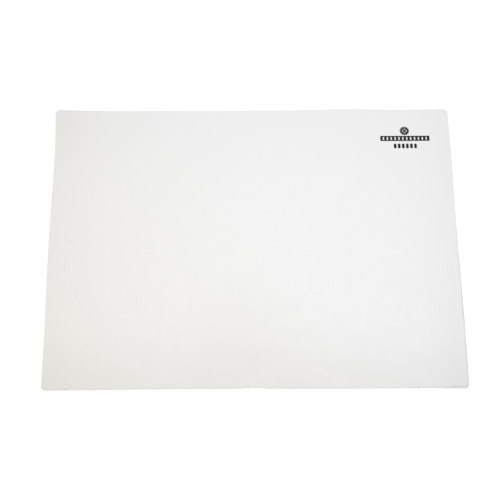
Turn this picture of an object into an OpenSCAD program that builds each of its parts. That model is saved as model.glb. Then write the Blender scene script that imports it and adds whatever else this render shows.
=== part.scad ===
// Soft bench mat for watch and instrument work.
// Three plies are laminated and die-cut together, and a mark is printed on the top ply.
// The origin is the centre of the underside. +X runs along the long side, +Y away from the worker, +Z up.

/* [Sheet] */
// Long side, left to right
mat_w = 330; // [200:5:600]
// Short side, near to far
mat_d = 240; // [150:5:450]
// Radius of the die-cut corners
corner_r = 3.5; // [1:0.5:20]

/* [Plies] */
// Matt vinyl skin that the work lies on
skin_t = 0.5; // [0.3:0.1:1.5]
// Closed-cell foam that deadens a fall
core_t = 1; // [0.5:0.1:4]
// Tacky film that grips the bench
base_t = 0.5; // [0.3:0.1:1.5]

/* [Place of the mark] */
// How far the ink bites into the skin
ink_t = 0.05; // [0.02:0.01:0.2]
// From the right-hand edge to the middle of the mark
mark_from_right = 37.6; // [25:0.1:90]
// From the far edge to the middle of the track
mark_from_far = 27.2; // [16:0.1:70]
// From the middle of the track to the wheel above it and the batons below it
mark_step = 7; // [6.8:0.1:10]

/* [Wheel] */
// Radius over the tips of the teeth
wheel_r = 4.1; // [3.6:0.1:4.2]
// Number of teeth
wheel_teeth = 12; // [10:1:20]
// Depth of a tooth
tooth_h = 0.6; // [0.4:0.1:0.8]
// Width of the rim below the teeth
rim_w = 1.5; // [0.8:0.1:1.5]
// Radius of the hub
hub_r = 1.2; // [0.8:0.1:1.2]
// Number of arms from hub to rim
wheel_arms = 4; // [3:1:5]
// Width of an arm
arm_w = 1; // [0.4:0.1:1]

/* [Track] */
// Length of the track
track_w = 41.2; // [20:0.1:44]
// Height of the track
track_h = 4.7; // [3.5:0.1:5]
// Width of each rail
rail_w = 1.1; // [0.5:0.1:1.3]
// Number of open windows between the bars
track_windows = 12; // [6:1:16]
// Share of the track's pitch that a bar takes up
bar_share = 0.65; // [0.4:0.05:0.8]

/* [Batons] */
// Number of batons
baton_count = 6; // [1:1:10]
// Width of one baton
baton_w = 2.2; // [1.5:0.1:2.8]
// Height of one baton
baton_h = 4.4; // [3:0.1:4.6]
// Length cut off each corner of a baton, along its sides
baton_chamfer = 0.6; // [0.2:0.1:0.7]
// Middle to middle of two batons
baton_pitch = 3.4; // [3.1:0.1:4]

/* [Hidden] */

mat_t = base_t + core_t + skin_t;
mark_x = mat_w / 2 - mark_from_right;
mark_y = mat_d / 2 - mark_from_far;
root_r = wheel_r - tooth_h;
rim_r = root_r - rim_w;
bar_pitch = track_w / (track_windows + bar_share);
tooth_root_share = 0.7; // of the root circle's pitch, so that the gaps stay open
tooth_tip_share = 0.75; // of the width at the root
round_fn = 48;
cut = 1; // how far a cutter runs past the face that it opens

// The die's outline: straight sides and four round corners.
module outline() {
    square([mat_w - 2 * corner_r, mat_d], center = true);
    square([mat_w, mat_d - 2 * corner_r], center = true);
    for (sx = [-1, 1], sy = [-1, 1])
        translate([sx * (mat_w / 2 - corner_r), sy * (mat_d / 2 - corner_r)])
            circle(r = corner_r, $fn = round_fn);
}

// A ply t thick whose underside is at height z.
module ply(z, t) {
    translate([0, 0, z]) linear_extrude(t) outline();
}

// One tooth, which narrows towards its tip and has its foot sunk in the rim.
module tooth() {
    root_w = 2 * root_r * sin(180 / wheel_teeth) * tooth_root_share;
    tip_w = root_w * tooth_tip_share;
    sunk_r = root_r - rim_w / 4;
    polygon([[sunk_r, -root_w / 2], [wheel_r, -tip_w / 2], [wheel_r, tip_w / 2], [sunk_r, root_w / 2]]);
}

// Toothed wheel with arms and a hub, round its own middle.
module wheel() {
    difference() {
        union() {
            circle(r = root_r, $fn = round_fn);
            for (i = [0 : wheel_teeth - 1]) rotate(i * 360 / wheel_teeth) tooth();
        }
        circle(r = rim_r, $fn = round_fn);
    }
    circle(r = hub_r, $fn = round_fn);
    for (i = [0 : wheel_arms - 1])
        rotate(45 + i * 360 / wheel_arms)
            translate([0, -arm_w / 2]) square([rim_r + rim_w / 2, arm_w]);
}

// Two rails with bars between them, which leave a row of open windows.
module track() {
    for (s = [-1, 1])
        translate([0, s * (track_h - rail_w) / 2]) square([track_w, rail_w], center = true);
    for (i = [0 : track_windows])
        translate([(i - track_windows / 2) * bar_pitch, 0])
            square([bar_share * bar_pitch, track_h - rail_w], center = true);
}

// One upright baton with chamfered corners.
module baton() {
    x = baton_w / 2;
    y = baton_h / 2;
    c = baton_chamfer;
    polygon([[-x, c - y], [c - x, -y], [x - c, -y], [x, c - y], [x, y - c], [x - c, y], [c - x, y], [-x, y - c]]);
}

// A row of separate batons.
module batons() {
    for (i = [0 : baton_count - 1])
        translate([(i - (baton_count - 1) / 2) * baton_pitch, 0]) baton();
}

// Each part of the mark at its place on the sheet.
module place_wheel() { translate([mark_x, mark_y + mark_step]) wheel(); }
module place_track() { translate([mark_x, mark_y]) track(); }
module place_batons() { translate([mark_x, mark_y - mark_step]) batons(); }

// Ink that lies flush with the top of the skin.
module ink() {
    color("#222325") translate([0, 0, mat_t - ink_t]) linear_extrude(ink_t) children();
}

module work_surface() {
    color("#f1f0ef") difference() {
        ply(base_t + core_t, skin_t);
        translate([0, 0, mat_t - ink_t]) linear_extrude(ink_t + cut) {
            place_wheel();
            place_track();
            place_batons();
        }
    }
}

module cushion_core() {
    color("#ebe9e4") ply(base_t, core_t);
}

module grip_base() {
    color("#e7e7e4") ply(0, base_t);
}

module print_wheel() {
    ink() place_wheel();
}

module print_track() {
    ink() place_track();
}

module print_batons() {
    ink() place_batons();
}

work_surface();
cushion_core();
grip_base();
print_wheel();
print_track();
print_batons();
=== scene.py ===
"""Soft bench mat for watch work, lying on a white table under two soft lamps.

Three plies (vinyl skin, foam core, grip film) and the ink of the printed mark each replace their
CAD solid. Every point is first placed as if the sheet were flat. bent() then lays it on the table,
with the sheet's lifted corner, its low waves and its slightly wandering cut edges.
"""

import math

import bmesh
import bpy
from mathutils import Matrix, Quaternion, Vector


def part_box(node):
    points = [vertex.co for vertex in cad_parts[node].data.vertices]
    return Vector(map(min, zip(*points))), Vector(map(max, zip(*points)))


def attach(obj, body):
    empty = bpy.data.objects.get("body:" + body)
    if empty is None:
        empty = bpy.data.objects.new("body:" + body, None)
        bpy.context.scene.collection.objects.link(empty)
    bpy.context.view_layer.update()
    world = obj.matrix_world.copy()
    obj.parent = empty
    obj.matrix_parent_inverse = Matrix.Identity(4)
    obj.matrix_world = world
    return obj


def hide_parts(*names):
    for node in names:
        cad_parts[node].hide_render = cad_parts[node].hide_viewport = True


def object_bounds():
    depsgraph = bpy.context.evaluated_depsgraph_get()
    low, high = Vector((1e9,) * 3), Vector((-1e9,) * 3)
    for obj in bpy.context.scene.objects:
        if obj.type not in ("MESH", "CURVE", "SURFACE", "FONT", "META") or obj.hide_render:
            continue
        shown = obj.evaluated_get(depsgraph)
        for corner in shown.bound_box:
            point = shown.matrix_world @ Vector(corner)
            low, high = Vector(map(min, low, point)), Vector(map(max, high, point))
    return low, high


MM = 0.001

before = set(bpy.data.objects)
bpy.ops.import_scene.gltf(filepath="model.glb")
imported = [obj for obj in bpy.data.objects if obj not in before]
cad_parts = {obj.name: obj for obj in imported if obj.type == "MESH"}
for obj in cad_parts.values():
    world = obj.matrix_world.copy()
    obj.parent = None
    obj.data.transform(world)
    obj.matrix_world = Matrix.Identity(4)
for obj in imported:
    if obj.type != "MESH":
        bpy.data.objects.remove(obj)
cad_low, cad_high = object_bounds()

HALF_W, HALF_D = cad_high.x, cad_high.y
CORNER_R = 3.5 * MM  # the die-cut corners' radius in the CAD plies


# ---------------------------------------------------------------- camera

AIM = Vector((-3.2, -5.7, 0)) * MM
CAMERA_DISTANCE = 897.6 * MM
CAMERA_ELEVATION = math.radians(69.13)
CAMERA_AZIMUTH = math.radians(-1.65)
CAMERA_ROLL = math.radians(1.215)
LENS_MM = 80.1


def make_camera():
    """Looks steeply down from the near side, a touch to the left and a touch rolled."""
    data = bpy.data.cameras.new("camera")
    data.lens = LENS_MM
    data.clip_start = 0.01
    data.clip_end = 50
    back = Vector((
        math.sin(CAMERA_AZIMUTH) * math.cos(CAMERA_ELEVATION),
        -math.cos(CAMERA_AZIMUTH) * math.cos(CAMERA_ELEVATION),
        math.sin(CAMERA_ELEVATION),
    ))
    camera = bpy.data.objects.new("camera", data)
    camera.location = AIM + back * CAMERA_DISTANCE
    camera.rotation_mode = "QUATERNION"
    level = (-back).to_track_quat("-Z", "Y")
    camera.rotation_quaternion = level @ Quaternion((0, 0, 1), CAMERA_ROLL)
    bpy.context.collection.objects.link(camera)
    bpy.context.scene.camera = camera


# ---------------------------------------------------------------- how the mat lies

CURL_HEIGHT = 2.6 * MM  # of the lifted far left corner
CURL_REACH = 34 * MM  # from that corner to where it leaves the table

# Low waves where the sheet stands off the table, in mm:
# centre x, centre y, height, reach along x, reach along y.
WAVES = [
    (80, 120, 0.8, 50, 40),
    (165, 120, 0.7, 40, 40),
    (-2, -120, 0.6, 18, 16),
    (30, -55, 1.0, 170, 60),
]
EDGE_FADE = 45 * MM  # how far in from a cut edge its straying is felt


def ease(t):
    """0 up to t = 0 and 1 from t = 1 on, with a smooth rise between."""
    t = min(max(t, 0.0), 1.0)
    return t * t * (3 - 2 * t)


def hump(distance, reach):
    """1 at distance 0, falling smoothly to 0 at reach."""
    return 1 - ease(abs(distance) / reach)


def ripple(along, crest, wavelength):
    """A cosine wave with a crest at the given place."""
    return math.cos(2 * math.pi * (along - crest * MM) / (wavelength * MM))


def lift(x, y):
    """How far the underside stands off the table under a point of the flat sheet."""
    past_fold = CURL_REACH - (x + HALF_W + HALF_D - y) / math.sqrt(2)
    height = CURL_HEIGHT * max(past_fold / CURL_REACH, 0) ** 2
    for centre_x, centre_y, top, reach_x, reach_y in WAVES:
        across = hump(x - centre_x * MM, reach_x * MM)
        along = hump(y - centre_y * MM, reach_y * MM)
        height += top * MM * across * along
    return height


def stray(x, y):
    """How far a point is moved in the plane, because the cut edges are not quite straight.

    Each side's wandering is worked out in mm and fades away from its cut edge.
    """
    left = 0.35 * ripple(y, 75, 180)
    left -= 0.7 * hump(y - HALF_D, 40 * MM)  # drawn outwards at the far corner
    left += 0.3 * hump(y + 60 * MM, 60 * MM)
    right = 0.2 * ripple(y, -60, 130)
    far = 0.3 * ripple(x, 85, 260) + 0.12 * ripple(x, 77, 75) - 0.1
    near = 0.25 * ripple(x, -50, 330) - 0.15
    near += 0.5 * hump(x, 18 * MM)  # a shallow dent in the middle
    near -= 0.6 * hump(x - HALF_W, 35 * MM)  # drawn outwards at the right-hand corner
    stray_x = left * hump(x + HALF_W, EDGE_FADE) + right * hump(x - HALF_W, EDGE_FADE)
    stray_y = far * hump(y - HALF_D, EDGE_FADE) + near * hump(y + HALF_D, EDGE_FADE)
    return stray_x * MM, stray_y * MM


def bent(x, y, height):
    """Where a point of the flat sheet, at a height over its underside, comes to lie."""
    step = 1 * MM
    slope_x = (lift(x + step, y) - lift(x - step, y)) / (2 * step)
    slope_y = (lift(x, y + step) - lift(x, y - step)) / (2 * step)
    stray_x, stray_y = stray(x, y)
    foot = Vector((x + stray_x, y + stray_y, lift(x, y)))
    return foot + Vector((-slope_x, -slope_y, 1)).normalized() * height


# ---------------------------------------------------------------- meshes

CELL = 4 * MM  # grid spacing over a ply's faces
ARC_STEPS = 8  # segments in each round corner


def add_piece(name, mesh, node, material):
    """Puts a finished mesh in the scene as the stand-in for a CAD node."""
    piece = bpy.data.objects.new(name, mesh)
    bpy.context.collection.objects.link(piece)
    mesh.materials.append(material)
    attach(piece, "root")
    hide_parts(node)
    return piece


def rim_stations(columns, rows):
    """Places round the sheet, anticlockwise: (border cell of the grid, angle that faces out)."""
    sides = [
        ([(i, 0) for i in range(columns + 1)], -90),
        ([(columns, j) for j in range(rows + 1)], 0),
        ([(columns - i, rows) for i in range(columns + 1)], 90),
        ([(0, rows - j) for j in range(rows + 1)], 180),
    ]
    stations = []
    for border, facing in sides:
        stations += [(cell, math.radians(facing)) for cell in border]
        turn = 90 / ARC_STEPS
        stations += [(border[-1], math.radians(facing + turn * k)) for k in range(1, ARC_STEPS)]
    return stations


def make_ply(name, node, material, rim):
    """A closed sheet: an upper and a lower grid, joined round the rim by rings.

    rim lists the rings from the upper face to the lower one, each as (pull-in from the cut edge,
    height over the ply's lower face), in mm.
    """
    low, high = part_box(node)
    columns = round(2 * (HALF_W - CORNER_R) / CELL)
    rows = round(2 * (HALF_D - CORNER_R) / CELL)
    cell_x = 2 * (HALF_W - CORNER_R) / columns
    cell_y = 2 * (HALF_D - CORNER_R) / rows
    shape = bmesh.new()

    def grid_point(cell):
        return CORNER_R - HALF_W + cell[0] * cell_x, CORNER_R - HALF_D + cell[1] * cell_y

    def grid(height):
        cells = [(i, j) for i in range(columns + 1) for j in range(rows + 1)]
        return {cell: shape.verts.new(bent(*grid_point(cell), height)) for cell in cells}

    def ring(pull_in, height):
        points = []
        for cell, facing in stations:
            x, y = grid_point(cell)
            x += (CORNER_R - pull_in) * math.cos(facing)
            y += (CORNER_R - pull_in) * math.sin(facing)
            points.append(shape.verts.new(bent(x, y, height)))
        return points

    def stitch(inner, outer, flip=False):
        """Joins two loops of the same length; a corner's fan meets in one vertex."""
        for k in range(len(stations)):
            after = (k + 1) % len(stations)
            corners = [inner[k], outer[k], outer[after], inner[after]]
            if inner[k] == inner[after]:
                corners.pop()
            shape.faces.new(corners[::-1] if flip else corners)

    stations = rim_stations(columns, rows)
    upper, lower = grid(high.z), grid(low.z)
    for i in range(columns):
        for j in range(rows):
            square = [(i, j), (i + 1, j), (i + 1, j + 1), (i, j + 1)]
            shape.faces.new([upper[cell] for cell in square])
            shape.faces.new([lower[cell] for cell in reversed(square)])
    rings = [ring(pull_in * MM, low.z + height * MM) for pull_in, height in rim]
    stitch([upper[cell] for cell, _ in stations], rings[0])
    for inner, outer in zip(rings, rings[1:]):
        stitch(inner, outer)
    stitch([lower[cell] for cell, _ in stations], rings[-1], flip=True)

    mesh = bpy.data.meshes.new(name)
    shape.to_mesh(mesh)
    shape.free()
    mesh.shade_smooth()
    piece = add_piece(name, mesh, node, material)


INK_PROUD = 0.02 * MM  # how far the dry ink stands over the skin
INK_CELL = 2 * MM  # the ink is cut into cells this wide, so that it can follow the skin


def make_ink(name, node, material):
    """The CAD outline of a part of the mark, cut into cells and laid on the bent skin."""
    shape = bmesh.new()
    shape.from_mesh(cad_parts[node].data)
    low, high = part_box(node)
    for axis in (0, 1):
        normal = Vector((1 - axis, axis, 0))
        for k in range(1, math.ceil((high[axis] - low[axis]) / INK_CELL)):
            everything = shape.verts[:] + shape.edges[:] + shape.faces[:]
            cut = low + normal * k * INK_CELL
            bmesh.ops.bisect_plane(shape, geom=everything, plane_co=cut, plane_no=normal)
    for vertex in shape.verts:
        x, y, z = vertex.co
        vertex.co = bent(x, y, z + INK_PROUD)
    mesh = bpy.data.meshes.new(name)
    shape.to_mesh(mesh)
    shape.free()
    return add_piece(name, mesh, node, material)


# ---------------------------------------------------------------- materials


class Shader:
    """A Principled material with short calls to add and link nodes."""

    def __init__(self, name, roughness):
        self.material = bpy.data.materials.new(name)
        self.material.use_nodes = True
        self.tree = self.material.node_tree
        self.surface = self.tree.nodes["Principled BSDF"]
        self.surface.inputs["Roughness"].default_value = roughness
        self.place = self.node("ShaderNodeTexCoord").outputs["Object"]

    def node(self, kind, _settings=None, **inputs):
        made = self.tree.nodes.new(kind)
        for key, value in (_settings or {}).items():
            setattr(made, key, value)
        for key, value in inputs.items():
            self.plug(made.inputs[key.replace("_", " ")], value)
        return made

    def plug(self, socket, value):
        """Links an output, or sets a plain value."""
        if isinstance(value, bpy.types.NodeSocket):
            self.tree.links.new(value, socket)
        else:
            socket.default_value = value

    def noise(self, size, detail=2.0):
        """Soft cloudy noise from 0 to 1, with features of about this size."""
        made = self.node("ShaderNodeTexNoise", Vector=self.place, Scale=1 / size, Detail=detail)
        return made.outputs["Fac"]

    def cells(self, size):
        """Distance from the nearest cell middle of a Voronoi pattern, in shares of this size."""
        made = self.node("ShaderNodeTexVoronoi", Vector=self.place, Scale=1 / size)
        return made.outputs["Distance"]

    def away(self, point):
        """Distance from a point."""
        made = self.node("ShaderNodeVectorMath", {"operation": "DISTANCE"})
        self.plug(made.inputs[0], self.place)
        self.plug(made.inputs[1], point)
        return made.outputs["Value"]

    def ramp(self, value, start, end, low=0.0, high=1.0):
        """Smoothly maps value from start..end to low..high."""
        made = self.node(
            "ShaderNodeMapRange",
            {"interpolation_type": "SMOOTHSTEP"},
            Value=value,
            From_Min=start,
            From_Max=end,
            To_Min=low,
            To_Max=high,
        )
        return made.outputs["Result"]

    def maths(self, operation, first, second=0.0):
        """Arithmetic on one or two numbers."""
        made = self.node("ShaderNodeMath", {"operation": operation})
        self.plug(made.inputs[0], first)
        self.plug(made.inputs[1], second)
        return made.outputs["Value"]

    def mix(self, amount, first, second):
        """Blends two colours."""
        made = self.node("ShaderNodeMix", {"data_type": "RGBA"})
        self.plug(made.inputs["Factor"], amount)
        self.plug(made.inputs[6], first)
        self.plug(made.inputs[7], second)
        return made.outputs[2]

    def bump(self, height, depth, under=None):
        """A bump of this depth in metres, over another bump if one is given."""
        made = self.node("ShaderNodeBump", Height=height, Distance=depth)
        if under is not None:
            self.plug(made.inputs["Normal"], under)
        return made.outputs["Normal"]


GRAIN = 0.7 * MM  # width of a pebble in the skin's grain

# Specks of dirt on the skin, the last one on its near edge: x, y and radius, in mm.
SPECKS = [(-103, 57, 0.45), (-148, 2, 0.45), (125.8, -120, 0.75)]

WHITE_DARKER, WHITE_LIGHTER = (0.872, 0.872, 0.874, 1), (0.884, 0.884, 0.886, 1)
YELLOWED_WHITE = (0.880, 0.867, 0.817, 1)
# The next greys darken the skin for painted shade, and its cut edge for faint grime and a painted
# shadow.
SHADE_GREY, YELLOWED_SHADE_GREY = (0.74, 0.735, 0.725, 1), (0.755, 0.73, 0.675, 1)
GRIME_AND_SHADE_GREY = (0.70, 0.695, 0.68, 1)
DIRT = (0.28, 0.27, 0.25, 1)


def skin_material():
    """Matt white vinyl with a fine pebble grain, yellowed by use, with specks of dirt, faint grime
    at its cut edge and painted shade over parts of it.
    """
    s = Shader("white_vinyl", 0.6)
    x, y, _ = s.node("ShaderNodeSeparateXYZ", Vector=s.place).outputs
    clouds = s.noise(70 * MM)
    white = s.mix(clouds, WHITE_DARKER, WHITE_LIGHTER)

    # Yellowing grows towards the near left-hand corner.
    leftwards = s.maths("SUBTRACT", s.maths("MULTIPLY", x, -1), s.maths("MULTIPLY", y, 0.7))
    yellowing = s.ramp(leftwards, -80 * MM, 300 * MM)
    yellowed = s.mix(yellowing, white, YELLOWED_WHITE)

    # Painted shade: the near side, a patch in its middle, the short sides (more so towards the near
    # right) and the lifted corner are blended towards a darker grey.
    wander = s.maths("ADD", y, s.maths("MULTIPLY", clouds, 24 * MM))
    near_side = s.ramp(wander, -50 * MM, -HALF_D, 0, 0.42)
    patch = s.ramp(s.away((-5 * MM, -82 * MM, 0)), 75 * MM, 10 * MM, 0, 0.16)
    nearer_right = s.maths("SUBTRACT", x, s.maths("MULTIPLY", y, 0.6))
    stronger_near_right = s.ramp(nearer_right, 60 * MM, 200 * MM, 0.5, 1)
    by_short_side = s.ramp(s.maths("ABSOLUTE", x), HALF_W - 36 * MM, HALF_W, 0, 0.2)
    short_sides = s.maths("MULTIPLY", by_short_side, stronger_near_right)
    corner = s.ramp(s.away((-HALF_W, HALF_D, 0)), 60 * MM, 0, 0, 0.28)
    painted_shade = s.maths("ADD", s.maths("ADD", near_side, patch), s.maths("ADD", short_sides, corner))
    with_painted_shade = s.mix(painted_shade, yellowed, s.mix(yellowing, SHADE_GREY, YELLOWED_SHADE_GREY))

    # Faint grime runs along the whole cut edge; along the near half of the right-hand side the line
    # is much darker, a painted shadow.
    to_side = s.maths("SUBTRACT", s.maths("ABSOLUTE", x), HALF_W)
    to_long_side = s.maths("SUBTRACT", s.maths("ABSOLUTE", y), HALF_D)
    at_edge = s.ramp(s.maths("MAXIMUM", to_side, to_long_side), -1.6 * MM, -0.3 * MM)
    at_right = s.ramp(x, HALF_W - 20 * MM, HALF_W - 10 * MM)
    at_near_half = s.ramp(y, 30 * MM, -30 * MM)
    strength = s.ramp(s.maths("MULTIPLY", at_right, at_near_half), 0, 1, 0.12, 0.95)
    patchy = s.ramp(s.noise(28 * MM, 3), 0.35, 0.65, 0.6, 1)
    grime_and_shade = s.maths("MULTIPLY", at_edge, s.maths("MULTIPLY", patchy, strength))
    colour = s.mix(grime_and_shade, with_painted_shade, GRIME_AND_SHADE_GREY)
    for speck_x, speck_y, radius in SPECKS:
        centre = bent(speck_x * MM, speck_y * MM, cad_high.z)
        speck = s.ramp(s.away(centre), radius * MM, 0.45 * radius * MM)
        colour = s.mix(speck, colour, DIRT)
    s.plug(s.surface.inputs["Base Color"], colour)

    s.plug(s.surface.inputs["Roughness"], s.ramp(s.noise(9 * MM, 4), 0.25, 0.75, 0.52, 0.68))
    pebbles = s.bump(s.ramp(s.cells(GRAIN), 0.1, 0.7, 1, 0), 0.06 * MM)
    s.plug(s.surface.inputs["Normal"], s.bump(s.noise(0.3 * MM, 3), 0.03 * MM, pebbles))
    return s.material


def foam_material():
    """Off-white closed-cell foam: small round cells that the cut has opened, with painted shade in
    them.
    """
    s = Shader("cream_foam", 0.85)
    pores = s.ramp(s.cells(0.18 * MM), 0.15, 0.55)
    aged = s.mix(s.noise(25 * MM), (0.87, 0.86, 0.83, 1), (0.84, 0.825, 0.78, 1))
    # The opened cells are coloured darker than the foam round them: painted shade in their hollows.
    s.plug(s.surface.inputs["Base Color"], s.mix(pores, (0.75, 0.735, 0.69, 1), aged))
    s.plug(s.surface.inputs["Roughness"], s.ramp(pores, 0, 1, 0.95, 0.8))
    s.plug(s.surface.inputs["Normal"], s.bump(pores, 0.04 * MM))
    return s.material


def grip_material():
    """Off-white grip film: faintly tacky, with a dimpled underside and dust worked into it."""
    s = Shader("grip_film", 0.5)
    dust = s.noise(35 * MM, 4)
    colour = s.mix(dust, (0.83, 0.83, 0.815, 1), (0.77, 0.765, 0.74, 1))
    s.plug(s.surface.inputs["Base Color"], colour)
    s.plug(s.surface.inputs["Roughness"], s.ramp(dust, 0.3, 0.7, 0.45, 0.62))
    dimples = s.bump(s.ramp(s.cells(1.2 * MM), 0.1, 0.7), 0.15 * MM)
    s.plug(s.surface.inputs["Normal"], s.bump(s.noise(0.3 * MM, 3), 0.03 * MM, dimples))
    return s.material


def ink_material():
    """Charcoal print over the skin's grain: slightly uneven and worn thin in small flecks."""
    s = Shader("charcoal_ink", 0.6)
    s.surface.inputs["Specular IOR Level"].default_value = 0.2
    uneven = s.mix(s.noise(1.5 * MM, 3), (0.010, 0.011, 0.013, 1), (0.022, 0.023, 0.026, 1))
    worn = s.maths("MULTIPLY", s.ramp(s.noise(0.35 * MM, 3), 0.6, 0.8), 0.25)
    s.plug(s.surface.inputs["Base Color"], s.mix(worn, uneven, (0.16, 0.16, 0.16, 1)))
    s.plug(s.surface.inputs["Roughness"], s.ramp(s.noise(2 * MM, 2), 0.3, 0.7, 0.5, 0.7))
    s.plug(s.surface.inputs["Normal"], s.bump(s.ramp(s.cells(GRAIN), 0.1, 0.7, 1, 0), 0.02 * MM))
    return s.material


# ---------------------------------------------------------------- table and lamps

# Lengths here are in metres.
TABLE_HALF = 15.0
TABLE_GAP = 0.05 * MM  # between the table and the mat's underside
TABLE_WHITE = (0.8, 0.8, 0.8, 1)
TABLE_GLOW = 0.8  # the table's own glow as a light
GLOW_NEAR, GLOW_FAR = 0.28, 0.7  # and as the camera sees it, by the mat and well away from it
GLOW_GROWS_FROM, GLOW_GROWS_TO = 0.18, 0.42  # distances from the mat's middle
LAMP_HEIGHT = 0.62
LAMP_SPREAD = 0.12
LAMPS_MIDDLE = (0.03, 0.01)
LAMP_SIZE = 0.22
LAMP_WATTS = 1.2
SKY_LIGHT = 0.45  # the surround's strength as a light
SKY_SEEN = 1.1  # and as the camera sees it


def make_table():
    """A white table top with a faint glow of its own."""
    mesh = bpy.data.meshes.new("table_top")
    signs = [(-1, -1), (1, -1), (1, 1), (-1, 1)]
    corners = [(TABLE_HALF * x, TABLE_HALF * y, -TABLE_GAP) for x, y in signs]
    mesh.from_pydata(corners, [], [(0, 1, 2, 3)])
    table = bpy.data.objects.new("table_top", mesh)
    bpy.context.collection.objects.link(table)
    s = Shader("table_white", 0.8)
    s.surface.inputs["Base Color"].default_value = TABLE_WHITE
    s.surface.inputs["Specular IOR Level"].default_value = 0.2
    s.surface.inputs["Emission Color"].default_value = (1, 1, 1, 1)
    seen = s.node("ShaderNodeLightPath").outputs["Is Camera Ray"]
    from_middle = s.away((0, 0, 0))
    glow_seen = s.ramp(from_middle, GLOW_GROWS_FROM, GLOW_GROWS_TO, GLOW_NEAR, GLOW_FAR)
    s.plug(s.surface.inputs["Emission Strength"], s.ramp(seen, 0, 1, TABLE_GLOW, glow_seen))
    mesh.materials.append(s.material)


def make_lamp(name, x):
    """One square soft lamp that hangs over the mat and faces down."""
    data = bpy.data.lights.new(name, "AREA")
    data.size = LAMP_SIZE
    data.energy = LAMP_WATTS
    lamp = bpy.data.objects.new(name, data)
    lamp.location = (LAMPS_MIDDLE[0] + x, LAMPS_MIDDLE[1], LAMP_HEIGHT)
    lamp.visible_camera = False
    bpy.context.collection.objects.link(lamp)


def make_world():
    """An even white surround: full white to the eye, dimmer as a source of light."""
    world = bpy.data.worlds.new("surround")
    world.use_nodes = True
    tree = world.node_tree
    background = tree.nodes["Background"]
    background.inputs["Color"].default_value = (1, 1, 1, 1)
    seen = tree.nodes.new("ShaderNodeLightPath").outputs["Is Camera Ray"]
    strength = tree.nodes.new("ShaderNodeMapRange")
    strength.inputs["To Min"].default_value = SKY_LIGHT
    strength.inputs["To Max"].default_value = SKY_SEEN
    tree.links.new(seen, strength.inputs["Value"])
    tree.links.new(strength.outputs["Result"], background.inputs["Strength"])
    bpy.context.scene.world = world


# ---------------------------------------------------------------- the whole

# Each ply's cut edge, as the rings of make_ply(): the skin's upper edge is rounded by the die,
# the foam is drawn in a little, and the film's lower edge is rounded.
SKIN_RIM = [
    (1.5, 0.5), (0.6, 0.5), (0.25, 0.5), (0.12, 0.47), (0.03, 0.38), (0, 0.25), (0.02, 0), (0.6, 0),
]
FOAM_RIM = [(0.6, 1), (0.06, 1), (0.1, 0.8), (0.12, 0.5), (0.1, 0.2), (0.05, 0), (0.6, 0)]
GRIP_RIM = [
    (0.6, 0.5), (0.03, 0.5), (0, 0.35), (0.02, 0.12), (0.1, 0.02), (0.2, 0), (0.6, 0), (1.5, 0),
]

make_camera()
ink = ink_material()
mark = [make_ink(f"ink_{part}", f"print_{part}", ink) for part in ("wheel", "track", "batons")]
make_ply("grip_film", "grip_base", grip_material(), GRIP_RIM)
make_ply("foam_core", "cushion_core", foam_material(), FOAM_RIM)
make_ply("vinyl_skin", "work_surface", skin_material(), SKIN_RIM)

make_table()
make_lamp("lamp_left", -LAMP_SPREAD)
make_lamp("lamp_right", LAMP_SPREAD)
make_world()
bpy.context.scene.view_settings.view_transform = "Standard"
